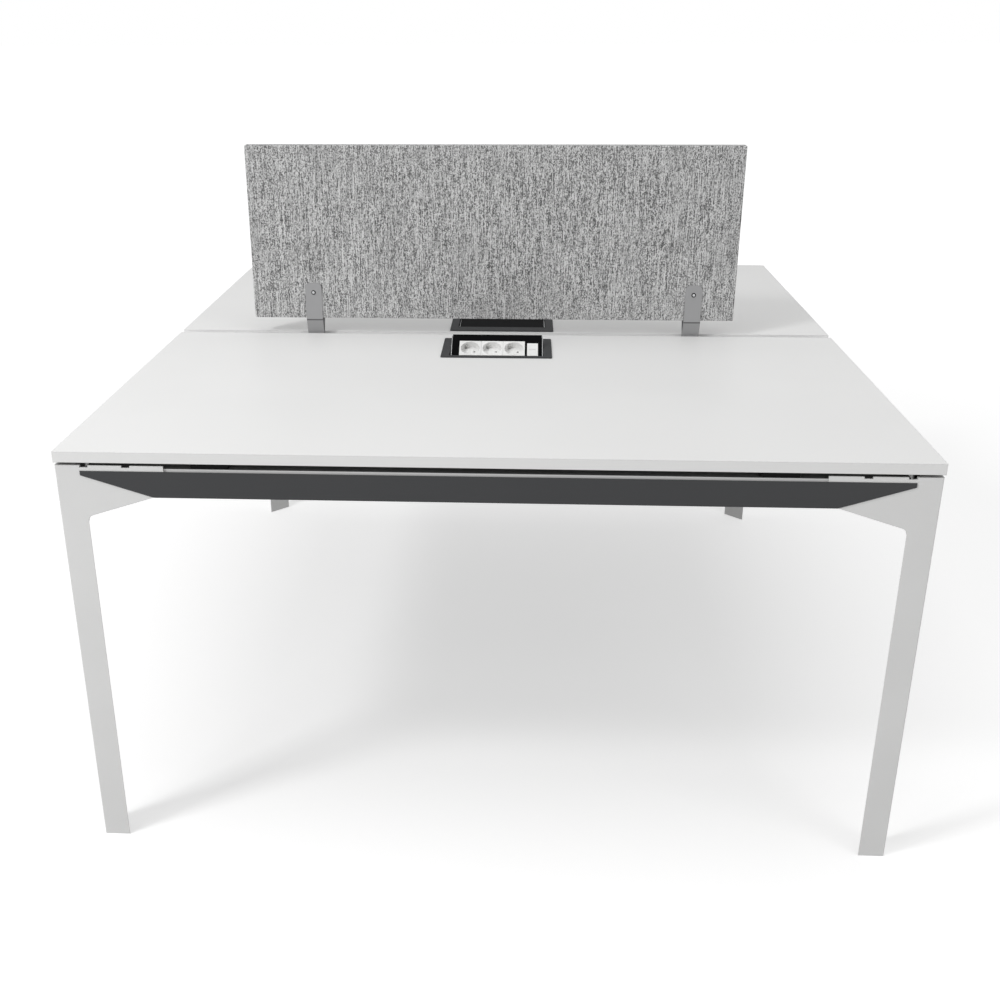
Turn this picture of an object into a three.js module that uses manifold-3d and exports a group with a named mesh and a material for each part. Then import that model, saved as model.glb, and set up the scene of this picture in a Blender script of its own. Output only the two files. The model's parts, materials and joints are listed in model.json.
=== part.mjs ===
// Benching desk for two: two worktops back to back on one four-legged steel frame, with a
// fabric screen over the seam and a turn-over power unit in each top.
// Millimetres, +Z up, origin on the floor under the middle of the desk. +X is to the right of
// the user at the front, +Y points away from that user.

import * as THREE from 'three';
import { mergeVertices } from 'three/addons/utils/BufferGeometryUtils.js';
import Module from 'manifold-3d';

// Clearance between pieces that touch.
const FIT = 0.3;

// Worktops
const TOP_WIDTH = 1400;
const TOP_DEPTH = 800;
const TOP_THICKNESS = 18;
const TOP_CORNER_RADIUS = 1.5;
const DESK_HEIGHT = 735;
const SEAM_GAP = 20;

// Corner legs: a folded triangular column with a wing along each edge of the desk
const LEG_WIDTH = 46;
const LEG_WALL = 2;
const LEG_HEAD_GAP = 5;
const LEG_HEAD_PLATE = 3;
const LEG_FLOOR_GAP = 0.8;
const LEG_OUTER_RADIUS = 3;
const LEG_NOSE_RADIUS = 0.8;
const WING_THICKNESS = 3;
const WING_LENGTH = 111;
const WING_SLOPE = THREE.MathUtils.degToRad(17.5);
const WING_FILLET = 8;
const WING_LAP = 19;
const TAB_COUNT = 2;
const TAB_GAP = 13.5;
const TAB_HEIGHT = 3.5;

// Foot plug and levelling glide at the foot of each leg
const PLUG_HEIGHT = 22;
const GLIDE_DISC_RADIUS = 8;
const GLIDE_DISC_HEIGHT = 4;
const GLIDE_STEM_RADIUS = 4;
const GLIDE_STEM_LENGTH = 36;
const GLIDE_POCKET_CLEARANCE = 1;

// Fascia: a folded sheet in front of the rail, with ends cut on the wing's slope
const FASCIA_INSET = 0.2;
const FASCIA_SHEET = 1;
const FASCIA_TOP_DROP = 14;
const FASCIA_HEIGHT = 44;
const FASCIA_RETURN = 25;
const FASCIA_LAP = 5.3;

// Rails behind the fascias, and the spacer pads on the front and rear ones
const RAIL_DEPTH = 30;
const RAIL_HEIGHT = 45;
const RAIL_WALL = 2;
const RAIL_END_GAP = 2;
const PAD_HEIGHT = 10;
const PAD_LENGTH = 60;
const PAD_DEPTH = 24;
const PAD_INSET = 250;

// Centre rails under the seam, and the angle that carries them at each end
const CENTRE_RAIL_GAP = 28;
const CENTRE_RAIL_WIDTH = 25;
const CENTRE_RAIL_HEIGHT = 40;
const ANGLE_THICKNESS = 3;
const ANGLE_REACH = 50;
const ANGLE_MARGIN = 6;

// Screen: a board in a sewn cover that is open below
const SCREEN_WIDTH = 1023;
const SCREEN_HEIGHT = 356;
const SCREEN_THICKNESS = 26;
const SCREEN_LIFT = 34.5;
const SCREEN_SHIFT = -21.5;
const COVER_WALL = 3.7;
const BOARD_RECESS = 2;

// Screen brackets: folded strips that stand on the centre rails and rise through the seam
const BRACKET_SHEET = 2.5;
const BRACKET_WIDTH = 35;
const BRACKET_FROM_END = 108;
const BRACKET_STEM = 4.25;
const BRACKET_FOOT_SETBACK = 2;
const BRACKET_LEAN_START = 2;
const BRACKET_FOLD_DROP = 4;
const BRACKET_TAB_HEIGHT = 75;
const BRACKET_TAB_RADIUS = 11;
const BRACKET_HOLE_RADIUS = 2.75;
const BRACKET_HOLE_DROP = 20;

// Power units: a body that turns over inside a half-round tub
const FRONT_UNIT_X = -7.45;
const REAR_UNIT_X = -1;
const FRONT_UNIT_SETBACK = 40;
const REAR_UNIT_SETBACK = 6;
const OPEN_TURN = THREE.MathUtils.degToRad(154);
const BODY_RADIUS = 58;
const AXIS_DEPTH = 20;
const SOCKET_FACE_DROP = 20;
const COVER_PLATE = 3;
const END_CAP = 1.5;
const END_CAP_STEP = 4;
const PIN_RADIUS = 4;
const SOCKET_COUNT = 3;
const SOCKET_SIZE = 45;
const SOCKET_DEPTH = 28;
const SOCKET_PROUD = 0.5;
const SOCKET_RECESS_RADIUS = 19.3;
const SOCKET_RECESS_DEPTH = 14;
const SOCKET_PIN_RADIUS = 2.5;
const SOCKET_PIN_SPREAD = 9.5;
const SOCKET_PIN_TURN = THREE.MathUtils.degToRad(-30);
const SOCKET_PIN_DEPTH = 9;
const SOCKET_OFFSET = 11;
const HALF_INSERT_WIDTH = 22.5;
const HALF_INSERT_STEP = 6;
const INSERT_DIVIDER = 4.5;
const INSERT_GROOVE_LENGTH = 14;
const INSERT_GROOVE_WIDTH = 1.4;
const INSERT_GROOVE_DEPTH = 1.2;
const LEFT_MARGIN = 16.8;
const RIGHT_MARGIN = 9.9;
const TUB_GAP = 2;
const TUB_WALL = 1.5;
const TUB_END_GAP = 1.5;
const TUB_END_WALL = 2;
const OUTLET_LENGTH = 44;
const OUTLET_WIDTH = 18;
const BEZEL_HEIGHT = 2;
const BEZEL_GAP = 1;
const BEZEL_SIDE = 17;
const BEZEL_USER_EDGE = 11;
const BEZEL_SEAM_EDGE = 33;
const BEZEL_CORNER_RADIUS = 4;
const CUTOUT_CLEARANCE = 1.5;

// Heights and planes that follow from the sizes above
const DESK_DEPTH = 2 * TOP_DEPTH + SEAM_GAP;
const UNDERSIDE = DESK_HEIGHT - TOP_THICKNESS;
const LEG_TOP = UNDERSIDE - LEG_HEAD_GAP;
const FASCIA_TOP = UNDERSIDE - FASCIA_TOP_DROP;
const FASCIA_BOTTOM = FASCIA_TOP - FASCIA_HEIGHT;
const LEG_INSET = FASCIA_INSET + FASCIA_SHEET + FIT;
const LEG_INNER = LEG_INSET + LEG_WIDTH;
const WING_TIP = LEG_INNER + WING_LENGTH;
const WING_END = WING_TIP + WING_LAP;
const NOTCH_START = LEG_INNER - FASCIA_LAP;
const NOTCH_BOTTOM = LEG_TOP - TAB_HEIGHT;
const RAIL_TOP = UNDERSIDE - PAD_HEIGHT;
const RAIL_FRONT = LEG_INSET + WING_THICKNESS + FIT;
const RAIL_BACK = RAIL_FRONT + RAIL_DEPTH;
const RAIL_START = Math.max(LEG_INNER, RAIL_BACK) + RAIL_END_GAP;
const PAD_SPREAD = TOP_WIDTH / 2 - PAD_INSET;
const INNER_RAIL_TOP = UNDERSIDE - BRACKET_SHEET - 2 * FIT;
const INNER_RAIL_BOTTOM = INNER_RAIL_TOP - CENTRE_RAIL_HEIGHT;
const INNER_RAIL_OUTSIDE = CENTRE_RAIL_GAP / 2 + CENTRE_RAIL_WIDTH;
const SCREEN_BOTTOM = DESK_HEIGHT + SCREEN_LIFT;
const BRACKET_SPREAD = SCREEN_WIDTH / 2 - BRACKET_FROM_END;
const BODY_LENGTH =
  LEFT_MARGIN + SOCKET_COUNT * SOCKET_SIZE + INSERT_DIVIDER + HALF_INSERT_WIDTH + RIGHT_MARGIN;
const COVER_HALF_DEPTH = Math.sqrt(BODY_RADIUS ** 2 - AXIS_DEPTH ** 2);
const TUB_INSIDE = BODY_RADIUS + TUB_GAP;
const TUB_OUTSIDE = TUB_INSIDE + TUB_WALL;
const TUB_HALF_LENGTH = BODY_LENGTH / 2 + TUB_END_GAP;

// Facets on a full circle
const ROUND_SEGMENTS = 32;

const wasm = await Module();
wasm.setup();

const finish = {
  laminate: new THREE.MeshStandardMaterial({ color: 0xf2f2f0, roughness: 0.55, metalness: 0 }),
  whiteSteel: new THREE.MeshStandardMaterial({ color: 0xdcdcda, roughness: 0.45, metalness: 0.1 }),
  darkSteel: new THREE.MeshStandardMaterial({ color: 0x424446, roughness: 0.55, metalness: 0.2 }),
  greySteel: new THREE.MeshStandardMaterial({ color: 0x9c9d9e, roughness: 0.4, metalness: 0.6 }),
  fabric: new THREE.MeshStandardMaterial({ color: 0x9a9a9a, roughness: 0.95, metalness: 0 }),
  board: new THREE.MeshStandardMaterial({ color: 0xb59a74, roughness: 0.85, metalness: 0 }),
  blackPlastic: new THREE.MeshStandardMaterial({ color: 0x141414, roughness: 0.5, metalness: 0 }),
  bezel: new THREE.MeshStandardMaterial({ color: 0x4a4b4d, roughness: 0.45, metalness: 0.4 }),
  aluminium: new THREE.MeshStandardMaterial({ color: 0xb8babc, roughness: 0.35, metalness: 0.8 }),
  whitePlastic: new THREE.MeshStandardMaterial({ color: 0xf4f4f2, roughness: 0.3, metalness: 0 }),
  rubber: new THREE.MeshStandardMaterial({ color: 0x1c1c1c, roughness: 0.9, metalness: 0 }),
  zinc: new THREE.MeshStandardMaterial({ color: 0xa8a9aa, roughness: 0.35, metalness: 0.9 }),
};

// A closed three.js geometry as a solid that can be joined and cut.
function solid(geometry) {
  const bare = geometry.index ? geometry.toNonIndexed() : geometry.clone();
  bare.deleteAttribute('normal');
  bare.deleteAttribute('uv');
  const merged = mergeVertices(bare, 1e-4);
  return new wasm.Manifold(new wasm.Mesh({
    numProp: 3,
    vertProperties: new Float32Array(merged.attributes.position.array),
    triVerts: new Uint32Array(merged.index.array),
  }));
}

// The vertices and triangles of a solid as a three.js geometry.
function surface(body) {
  const mesh = body.getMesh();
  const geometry = new THREE.BufferGeometry();
  geometry.setAttribute('position', new THREE.BufferAttribute(mesh.vertProperties, 3));
  geometry.setIndex(new THREE.BufferAttribute(mesh.triVerts, 1));
  geometry.computeVertexNormals();
  return geometry;
}

// A named piece of the desk, with a material of its own.
function piece(name, geometry, material) {
  const mesh = new THREE.Mesh(geometry, material.clone());
  mesh.name = name;
  return mesh;
}

// A shape drawn in X and Y, standing from low to high along Z.
function prismZ(shape, low, high) {
  const geometry = new THREE.ExtrudeGeometry(shape, {
    depth: high - low,
    bevelEnabled: false,
    curveSegments: ROUND_SEGMENTS / 4,
  });
  return geometry.translate(0, 0, low);
}

// A shape drawn in X and Z, running from low to high along Y.
function prismY(shape, low, high) {
  return prismZ(shape, -high, -low).rotateX(Math.PI / 2);
}

// A shape drawn in Y and Z, running from low to high along X.
function prismX(shape, low, high) {
  return prismZ(shape, low, high).rotateX(Math.PI / 2).rotateZ(Math.PI / 2);
}

// A box between two corners.
function block(low, high) {
  const size = high.map((value, axis) => value - low[axis]);
  const middle = high.map((value, axis) => (value + low[axis]) / 2);
  return new THREE.BoxGeometry(...size).translate(...middle);
}

// A round bar along Z between two heights.
function bar(radius, low, high) {
  const geometry = new THREE.CylinderGeometry(radius, radius, high - low, ROUND_SEGMENTS);
  return geometry.rotateX(Math.PI / 2).translate(0, 0, (low + high) / 2);
}

// A closed outline through corners given as [x, y, radius], with each corner rounded.
function outline(corners, target = new THREE.Shape()) {
  const count = corners.length;
  corners.forEach(([x, y, radius = 0], index) => {
    const corner = new THREE.Vector2(x, y);
    const before = new THREE.Vector2(...corners[(index + count - 1) % count]);
    const after = new THREE.Vector2(...corners[(index + 1) % count]);
    const towardBefore = before.sub(corner).normalize();
    const towardAfter = after.sub(corner).normalize();
    const halfAngle = Math.acos(THREE.MathUtils.clamp(towardBefore.dot(towardAfter), -1, 1)) / 2;
    const reach = radius / Math.tan(halfAngle);
    const start = corner.clone().addScaledVector(towardBefore, reach);
    const end = corner.clone().addScaledVector(towardAfter, reach);
    if (index === 0) target.moveTo(start.x, start.y);
    else target.lineTo(start.x, start.y);
    if (radius > 0) target.quadraticCurveTo(x, y, end.x, end.y);
  });
  target.closePath();
  return target;
}

// The corners of a rectangle, all with one radius.
function rectangle(left, low, right, high, radius = 0) {
  return [[left, low, radius], [right, low, radius], [right, high, radius], [left, high, radius]];
}

// The outline of a folded strip: a line of points given its sheet thickness, with mitred folds.
function foldedStrip(points, thickness) {
  const line = points.map(([x, y]) => new THREE.Vector2(x, y));
  const across = line.slice(1).map((point, index) => {
    const along = point.clone().sub(line[index]).normalize();
    return new THREE.Vector2(-along.y, along.x);
  });
  const sides = line.map((point, index) => {
    const before = across[Math.max(index - 1, 0)];
    const after = across[Math.min(index, across.length - 1)];
    const mitre = before.clone().add(after).normalize();
    mitre.multiplyScalar(thickness / 2 / mitre.dot(after));
    return [point.clone().add(mitre), point.clone().sub(mitre)];
  });
  const near = sides.map(([left]) => left);
  const far = sides.map(([, right]) => right).reverse();
  return new THREE.Shape([...far, ...near]);
}

// The corners of the leg's right-angled triangle, drawn inset from the leg's outer faces.
function legTriangle(inset, outerRadius, noseRadius) {
  const corner = LEG_INSET + inset;
  const side = LEG_WIDTH - inset * (2 + Math.SQRT2);
  return [
    [corner, corner, outerRadius],
    [corner + side, corner, noseRadius],
    [corner, corner + side, noseRadius],
  ];
}

// The distance from the desk's edges to the middle of the leg's section.
const LEG_MIDDLE = LEG_INSET + LEG_WIDTH * (1 - Math.SQRT1_2);

// The wing's outline: below, a slope up to its tip; above, tabs that stand in the shadow gap.
function wingOutline() {
  const slope = Math.tan(WING_SLOPE);
  const flare = FASCIA_BOTTOM - WING_LENGTH * slope;
  const rootX = LEG_INSET + LEG_WIDTH / 2;
  const filletAlong = WING_FILLET * Math.cos(WING_SLOPE);
  const tabLength = (WING_END - NOTCH_START) / TAB_COUNT - TAB_GAP;
  const shape = new THREE.Shape();
  shape.moveTo(rootX, flare - WING_FILLET);
  shape.lineTo(LEG_INNER - LEG_NOSE_RADIUS, flare - WING_FILLET);
  shape.quadraticCurveTo(LEG_INNER, flare, LEG_INNER + filletAlong, flare + filletAlong * slope);
  shape.lineTo(WING_TIP, FASCIA_BOTTOM);
  shape.lineTo(WING_END, FASCIA_BOTTOM + WING_LAP * slope);
  for (let tab = TAB_COUNT; tab > 0; tab -= 1) {
    const tabEnd = NOTCH_START + tab * (TAB_GAP + tabLength);
    shape.lineTo(tabEnd, LEG_TOP);
    shape.lineTo(tabEnd - tabLength, LEG_TOP);
    shape.lineTo(tabEnd - tabLength, NOTCH_BOTTOM);
    shape.lineTo(tabEnd - tabLength - TAB_GAP, NOTCH_BOTTOM);
  }
  shape.lineTo(NOTCH_START, LEG_TOP);
  shape.lineTo(rootX, LEG_TOP);
  shape.closePath();
  return shape;
}

// One corner leg, with the desk's corner at the origin and its edges along +X and +Y.
function legGeometry() {
  const tube = outline(legTriangle(0, LEG_OUTER_RADIUS, LEG_NOSE_RADIUS));
  const bore = outline(legTriangle(LEG_WALL, 0, 0));
  const wing = wingOutline();
  const wingEnd = LEG_INSET + WING_THICKNESS;
  const noseHigh = LEG_INNER + FIT;
  const notchTop = LEG_TOP + FIT;
  const sideWing = prismX(wing, LEG_INSET, wingEnd);
  return surface(
    solid(prismZ(tube, LEG_FLOOR_GAP, LEG_TOP))
      .subtract(solid(block([NOTCH_START, 0, NOTCH_BOTTOM], [noseHigh, LEG_INNER, notchTop])))
      .subtract(solid(block([0, NOTCH_START, NOTCH_BOTTOM], [LEG_INNER, noseHigh, notchTop])))
      .add(solid(prismY(wing, LEG_INSET, wingEnd)))
      .add(solid(sideWing))
      .subtract(solid(prismZ(bore, 0, LEG_TOP - LEG_HEAD_PLATE))),
  );
}

// The plug in the leg's foot, bored for the glide's stem and pocketed for its disc.
function plugGeometry() {
  const low = LEG_FLOOR_GAP;
  const high = low + PLUG_HEIGHT;
  const pocketRadius = GLIDE_DISC_RADIUS + GLIDE_POCKET_CLEARANCE;
  const pocket = bar(pocketRadius, 0, GLIDE_DISC_HEIGHT + FIT);
  const bore = bar(GLIDE_STEM_RADIUS + FIT, 0, high + FIT);
  return surface(
    solid(prismZ(outline(legTriangle(LEG_WALL + FIT, 0, 0)), low, high))
      .subtract(solid(pocket.translate(LEG_MIDDLE, LEG_MIDDLE, 0)))
      .subtract(solid(bore.translate(LEG_MIDDLE, LEG_MIDDLE, 0))),
  );
}

// The levelling glide: a disc with a domed edge on a screw stem.
function glideGeometry() {
  const edge = GLIDE_DISC_HEIGHT / 4;
  const top = GLIDE_DISC_HEIGHT + GLIDE_STEM_LENGTH;
  const profile = [
    [0, 0],
    [GLIDE_DISC_RADIUS - edge, 0],
    [GLIDE_DISC_RADIUS, edge],
    [GLIDE_DISC_RADIUS, GLIDE_DISC_HEIGHT - edge],
    [GLIDE_DISC_RADIUS - edge, GLIDE_DISC_HEIGHT],
    [GLIDE_STEM_RADIUS, GLIDE_DISC_HEIGHT],
    [GLIDE_STEM_RADIUS, top],
    [0, top],
  ];
  const turned = new THREE.LatheGeometry(
    profile.map(([radius, height]) => new THREE.Vector2(radius, height)),
    ROUND_SEGMENTS,
  );
  return surface(solid(turned.rotateX(Math.PI / 2).translate(LEG_MIDDLE, LEG_MIDDLE, 0)));
}

// The fascia of an edge of the desk: the worktop's edge lies on Y = 0, its middle at X = 0.
function fasciaGeometry(halfEdge) {
  const end = halfEdge - NOTCH_START;
  const tip = halfEdge - WING_TIP;
  const slopeTop = FASCIA_BOTTOM + (end - tip) * Math.tan(WING_SLOPE);
  const returnEnd = halfEdge - WING_END - FIT;
  const face = outline([
    [-tip, FASCIA_BOTTOM],
    [tip, FASCIA_BOTTOM],
    [end, slopeTop],
    [end, FASCIA_TOP],
    [-end, FASCIA_TOP],
    [-end, slopeTop],
  ]);
  return surface(
    solid(prismY(face, FASCIA_INSET, FASCIA_INSET + FASCIA_SHEET)).add(solid(block(
      [-returnEnd, FASCIA_INSET, FASCIA_BOTTOM],
      [returnEnd, FASCIA_INSET + FASCIA_RETURN, FASCIA_BOTTOM + FASCIA_SHEET],
    ))),
  );
}

// A rectangular tube along X, open at both ends.
function tubeGeometry(halfLength, front, back, low, high) {
  const section = outline(rectangle(front, low, back, high));
  const inside = rectangle(front + RAIL_WALL, low + RAIL_WALL, back - RAIL_WALL, high - RAIL_WALL);
  section.holes.push(outline(inside, new THREE.Path()));
  return prismX(section, -halfLength, halfLength);
}

// A rail behind a fascia.
function railGeometry(halfEdge) {
  return tubeGeometry(
    halfEdge - RAIL_START,
    RAIL_FRONT,
    RAIL_BACK,
    RAIL_TOP - RAIL_HEIGHT,
    RAIL_TOP,
  );
}

// A spacer pad between a rail and the worktop.
function padGeometry(x) {
  const middle = RAIL_FRONT + RAIL_DEPTH / 2;
  return block(
    [x - PAD_LENGTH / 2, middle - PAD_DEPTH / 2, RAIL_TOP + FIT],
    [x + PAD_LENGTH / 2, middle + PAD_DEPTH / 2, UNDERSIDE - FIT],
  );
}

// The distance from the middle of the seam to a unit's axis; the setback is the clear space
// between the centre rail and the unit's tub.
function unitReach(setback) {
  return INNER_RAIL_OUTSIDE + setback + TUB_OUTSIDE;
}

// The worktop of the user at the front, with the cut-out for a power unit.
function worktopGeometry(unitX, axisReach) {
  const inner = -SEAM_GAP / 2;
  const outer = inner - TOP_DEPTH;
  const half = TOP_WIDTH / 2;
  const shape = outline(rectangle(-half, outer, half, inner, TOP_CORNER_RADIUS));
  const cutHalfLength = TUB_HALF_LENGTH + TUB_END_WALL + CUTOUT_CLEARANCE;
  const cutHalfDepth = TUB_OUTSIDE + CUTOUT_CLEARANCE;
  shape.holes.push(outline(rectangle(
    unitX - cutHalfLength,
    -axisReach - cutHalfDepth,
    unitX + cutHalfLength,
    -axisReach + cutHalfDepth,
  ), new THREE.Path()));
  return prismZ(shape, UNDERSIDE, DESK_HEIGHT);
}

// The centre rail on the front user's side of the seam.
function centreRailGeometry() {
  const halfLength = TOP_WIDTH / 2 - RAIL_BACK - ANGLE_THICKNESS - 2 * FIT;
  return tubeGeometry(
    halfLength,
    -INNER_RAIL_OUTSIDE,
    -CENTRE_RAIL_GAP / 2,
    INNER_RAIL_BOTTOM,
    INNER_RAIL_TOP,
  );
}

// The angle at the right-hand end of the centre rails, seated on the side rail.
function angleGeometry() {
  const wall = TOP_WIDTH / 2 - RAIL_BACK - FIT - ANGLE_THICKNESS / 2;
  const seat = INNER_RAIL_BOTTOM - FIT - ANGLE_THICKNESS / 2;
  const halfWidth = INNER_RAIL_OUTSIDE + ANGLE_MARGIN;
  const section = foldedStrip(
    [[wall - ANGLE_REACH, seat], [wall, seat], [wall, RAIL_TOP]],
    ANGLE_THICKNESS,
  );
  return prismY(section, -halfWidth, halfWidth);
}

// The screen's cover: a flat bag that is open below.
function screenCoverGeometry() {
  const halfWidth = SCREEN_WIDTH / 2;
  const halfDepth = SCREEN_THICKNESS / 2;
  const top = SCREEN_BOTTOM + SCREEN_HEIGHT;
  const outside = block([-halfWidth, -halfDepth, SCREEN_BOTTOM], [halfWidth, halfDepth, top]);
  const inside = block(
    [-halfWidth + COVER_WALL, -halfDepth + COVER_WALL, SCREEN_BOTTOM - FIT],
    [halfWidth - COVER_WALL, halfDepth - COVER_WALL, top - COVER_WALL],
  );
  return surface(solid(outside).subtract(solid(inside))).translate(SCREEN_SHIFT, 0, 0);
}

// The board inside the cover.
function screenBoardGeometry() {
  const gap = COVER_WALL + FIT;
  const halfWidth = SCREEN_WIDTH / 2 - gap;
  const halfDepth = SCREEN_THICKNESS / 2 - gap;
  const low = SCREEN_BOTTOM + BOARD_RECESS;
  const high = SCREEN_BOTTOM + SCREEN_HEIGHT - gap;
  return block([-halfWidth, -halfDepth, low], [halfWidth, halfDepth, high])
    .translate(SCREEN_SHIFT, 0, 0);
}

// The front plate of a screen bracket: foot, stem, lean and rounded tab.
function bracketGeometry(x) {
  const footHeight = UNDERSIDE - FIT - BRACKET_SHEET / 2;
  const tabPlane = -SCREEN_THICKNESS / 2 - FIT - BRACKET_SHEET / 2;
  const tabTop = SCREEN_BOTTOM + BRACKET_TAB_HEIGHT;
  const half = BRACKET_WIDTH / 2;
  const strip = foldedStrip([
    [-INNER_RAIL_OUTSIDE + BRACKET_FOOT_SETBACK, footHeight],
    [-BRACKET_STEM, footHeight],
    [-BRACKET_STEM, DESK_HEIGHT + BRACKET_LEAN_START],
    [tabPlane, SCREEN_BOTTOM - BRACKET_FOLD_DROP],
    [tabPlane, tabTop],
  ], BRACKET_SHEET);
  const front = outline([
    [-half, INNER_RAIL_BOTTOM],
    [half, INNER_RAIL_BOTTOM],
    [half, tabTop, BRACKET_TAB_RADIUS],
    [-half, tabTop, BRACKET_TAB_RADIUS],
  ]);
  const hole = bar(BRACKET_HOLE_RADIUS, -BRACKET_SHEET, BRACKET_SHEET).rotateX(Math.PI / 2);
  hole.translate(0, tabPlane, tabTop - BRACKET_HOLE_DROP);
  return surface(
    solid(prismX(strip, -half, half))
      .intersect(solid(prismY(front, -INNER_RAIL_OUTSIDE, INNER_RAIL_OUTSIDE)))
      .subtract(solid(hole)),
  ).translate(x, 0, 0);
}

// A circle about the unit's axis, cut flat below and above, drawn in Y and Z.
function chordSection(radius, low, high) {
  const lowAngle = Math.asin(low / radius);
  const highAngle = Math.asin(high / radius);
  const shape = new THREE.Shape();
  shape.moveTo(-radius * Math.cos(lowAngle), low);
  shape.absarc(0, 0, radius, lowAngle, highAngle, false);
  shape.absarc(0, 0, radius, Math.PI - highAngle, Math.PI - lowAngle, false);
  shape.closePath();
  return shape;
}

// Where the sockets and the half-width insert start along the turn-over body.
function insertStarts() {
  const first = -BODY_LENGTH / 2 + LEFT_MARGIN;
  const sockets = Array.from({ length: SOCKET_COUNT }, (_, index) => first + index * SOCKET_SIZE);
  return { sockets, half: first + SOCKET_COUNT * SOCKET_SIZE + INSERT_DIVIDER };
}

// The block of an insert, or with no gap the pocket that it sits in. The step is how far its edge
// stays behind the sockets' edge on the side that is far from the user when the unit is open.
function insertBlock(start, width, step, low, high, gap) {
  const middle = -SOCKET_OFFSET;
  return block(
    [start + gap, middle - SOCKET_SIZE / 2 + step + gap, low],
    [start + width - gap, middle + SOCKET_SIZE / 2 - gap, high],
  );
}

// The turn-over body between its end caps, with the pockets for the inserts. Closed position:
// the cover on top, the socket face below, the axis at the origin.
function turnBodyGeometry() {
  const halfLength = BODY_LENGTH / 2 - END_CAP - FIT;
  const top = AXIS_DEPTH - COVER_PLATE - FIT;
  const pocketTop = -SOCKET_FACE_DROP - SOCKET_PROUD + SOCKET_DEPTH + FIT;
  const pocketLow = -SOCKET_FACE_DROP - FIT;
  const { sockets, half } = insertStarts();
  const socketRun = SOCKET_COUNT * SOCKET_SIZE;
  return surface(
    solid(prismX(chordSection(BODY_RADIUS, -SOCKET_FACE_DROP, top), -halfLength, halfLength))
      .subtract(solid(insertBlock(sockets[0], socketRun, 0, pocketLow, pocketTop, 0)))
      .subtract(solid(insertBlock(
        half, HALF_INSERT_WIDTH, HALF_INSERT_STEP, pocketLow, pocketTop, 0,
      ))),
  );
}

// The cover on the side of the body that is up when the unit is closed.
function coverPlateGeometry() {
  const halfLength = BODY_LENGTH / 2 - END_CAP - FIT;
  const section = chordSection(BODY_RADIUS, AXIS_DEPTH - COVER_PLATE, AXIS_DEPTH);
  return prismX(section, -halfLength, halfLength);
}

// An end cap with the pin that the body turns on; side is -1 at the left end, 1 at the right. It
// stays a step inside the body's round and below the cover, so that only its face edge shows.
function endCapGeometry(side) {
  const outer = BODY_LENGTH / 2;
  const inner = outer - END_CAP;
  const pinEnd = TUB_HALF_LENGTH + TUB_END_WALL;
  const section = chordSection(
    BODY_RADIUS - END_CAP_STEP, -SOCKET_FACE_DROP, AXIS_DEPTH - END_CAP_STEP,
  );
  const pin = bar(PIN_RADIUS, inner, pinEnd).rotateY(Math.PI / 2);
  const cap = surface(solid(prismX(section, inner, outer)).add(solid(pin)));
  return side > 0 ? cap : cap.rotateZ(Math.PI);
}

// A socket: a square insert with a round recess and two pin holes, opening downwards.
function socketGeometry(start) {
  const face = -SOCKET_FACE_DROP - SOCKET_PROUD;
  const back = face + SOCKET_DEPTH;
  const floor = face + SOCKET_RECESS_DEPTH;
  const middle = start + SOCKET_SIZE / 2;
  const recess = bar(SOCKET_RECESS_RADIUS, face - FIT, floor);
  const pinHole = bar(SOCKET_PIN_RADIUS, face, floor + SOCKET_PIN_DEPTH);
  const place = (geometry, spread) => solid(geometry.clone().translate(
    middle + spread * Math.cos(SOCKET_PIN_TURN),
    -SOCKET_OFFSET + spread * Math.sin(SOCKET_PIN_TURN),
    0,
  ));
  return surface(
    solid(insertBlock(start, SOCKET_SIZE, 0, face, back, FIT / 2))
      .subtract(place(recess, 0))
      .subtract(place(pinHole, -SOCKET_PIN_SPREAD))
      .subtract(place(pinHole, SOCKET_PIN_SPREAD)),
  );
}

// The half-width insert, with a groove across the middle of its face.
function halfInsertGeometry(start) {
  const face = -SOCKET_FACE_DROP - SOCKET_PROUD;
  const back = face + SOCKET_DEPTH;
  const middle = start + HALF_INSERT_WIDTH / 2;
  const centre = -SOCKET_OFFSET + HALF_INSERT_STEP / 2;
  const reach = INSERT_GROOVE_LENGTH / 2;
  const spread = INSERT_GROOVE_WIDTH / 2;
  const groove = block(
    [middle - reach, centre - spread, face - FIT],
    [middle + reach, centre + spread, face + INSERT_GROOVE_DEPTH],
  );
  return surface(
    solid(insertBlock(start, HALF_INSERT_WIDTH, HALF_INSERT_STEP, face, back, FIT / 2))
      .subtract(solid(groove)),
  );
}

// A trough about the unit's axis: half-round below, straight walls up to a height.
function troughSection(radius, top) {
  const shape = new THREE.Shape();
  shape.moveTo(radius, top);
  shape.lineTo(-radius, top);
  shape.absarc(0, 0, radius, Math.PI, 2 * Math.PI, false);
  shape.closePath();
  return shape;
}

// The tub under the worktop, with bearings for the pins and a cable outlet in its floor.
function tubGeometry() {
  const outerHalf = TUB_HALF_LENGTH + TUB_END_WALL;
  const outside = prismX(troughSection(TUB_OUTSIDE, AXIS_DEPTH), -outerHalf, outerHalf);
  const inside = prismX(troughSection(TUB_INSIDE, AXIS_DEPTH + FIT), -TUB_HALF_LENGTH, TUB_HALF_LENGTH);
  const bearing = bar(PIN_RADIUS + FIT, -outerHalf - FIT, outerHalf + FIT).rotateY(Math.PI / 2);
  const outlet = block(
    [-OUTLET_LENGTH / 2, -OUTLET_WIDTH / 2, -TUB_OUTSIDE - FIT],
    [OUTLET_LENGTH / 2, OUTLET_WIDTH / 2, -BODY_RADIUS],
  );
  return surface(
    solid(outside).subtract(solid(inside)).subtract(solid(bearing)).subtract(solid(outlet)),
  );
}

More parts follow.
